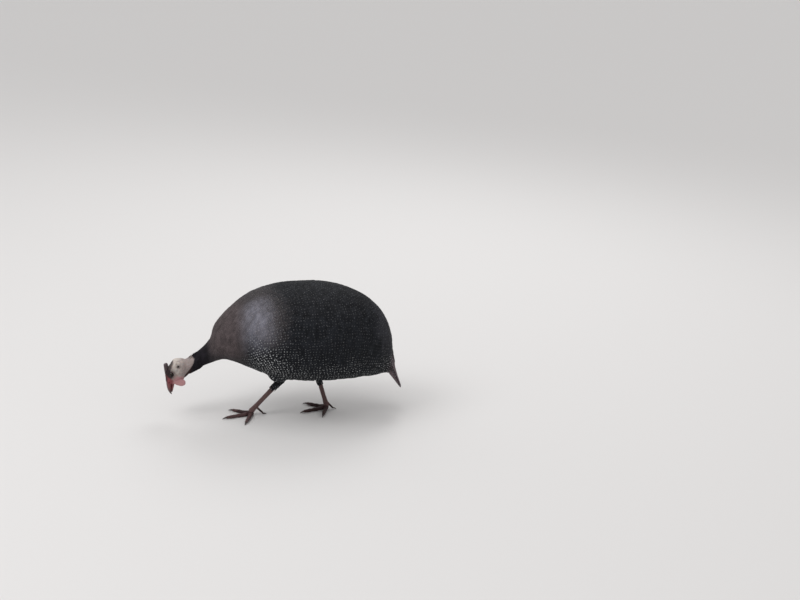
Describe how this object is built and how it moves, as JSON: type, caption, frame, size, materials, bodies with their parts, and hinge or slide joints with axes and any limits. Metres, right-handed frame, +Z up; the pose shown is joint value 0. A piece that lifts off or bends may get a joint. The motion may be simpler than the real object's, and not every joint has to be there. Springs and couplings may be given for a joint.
{
  "type": "guinea fowl model",
  "caption": "Life-size helmeted guinea fowl, walking with its head lowered to feed: spotted dark plumage, pale bare face, horn casque and bare legs.",
  "frame": {"origin": "middle of the bottom of the bird's box, on the plane it stands on", "axes": "-Y is the way the bird faces, +X is its left side, +Z is up"},
  "size_m": [0.1904, 0.4714, 0.2726],
  "materials": {
    "plumage": "dark slate feathers in overlapping rows, each with small white spots and fine pale lines; bars on the wing",
    "neck_plumage": "short dark feathers, hair-like towards the head, grey-lilac and finely barred on the collar",
    "face_skin": "bare wrinkled whitish skin, red over the nostrils and dark round the casque",
    "wattle_skin": "smooth bare pinkish red skin",
    "bill_horn": "satin horn, reddish at the base and greyer at the tip",
    "casque_horn": "dull rough brown horn",
    "eye": "wet gloss, dark brown with a black pupil",
    "leg_skin": "dark reddish brown scales with paler edges",
    "claw_horn": "satin dark horn"
  },
  "bodies": {
    "root": {"head": "face_skin", "bill_upper": "bill_horn", "bill_lower": "bill_horn", "casque": "casque_horn", "eye_left": "eye", "eye_right": "eye", "wattle_left": "wattle_skin", "wattle_right": "wattle_skin", "neck": "neck_plumage", "trunk": "plumage", "wing_left": "plumage", "wing_right": "plumage", "tail": "plumage", "thigh_left": "plumage", "thigh_right": "plumage", "shank_left": "leg_skin", "shank_right": "leg_skin", "foot_left": "leg_skin", "foot_right": "leg_skin", "claw_left_1": "claw_horn", "claw_left_2": "claw_horn", "claw_left_3": "claw_horn", "claw_left_4": "claw_horn", "claw_right_1": "claw_horn", "claw_right_2": "claw_horn", "claw_right_3": "claw_horn", "claw_right_4": "claw_horn"}
  },
  "joints": []
}
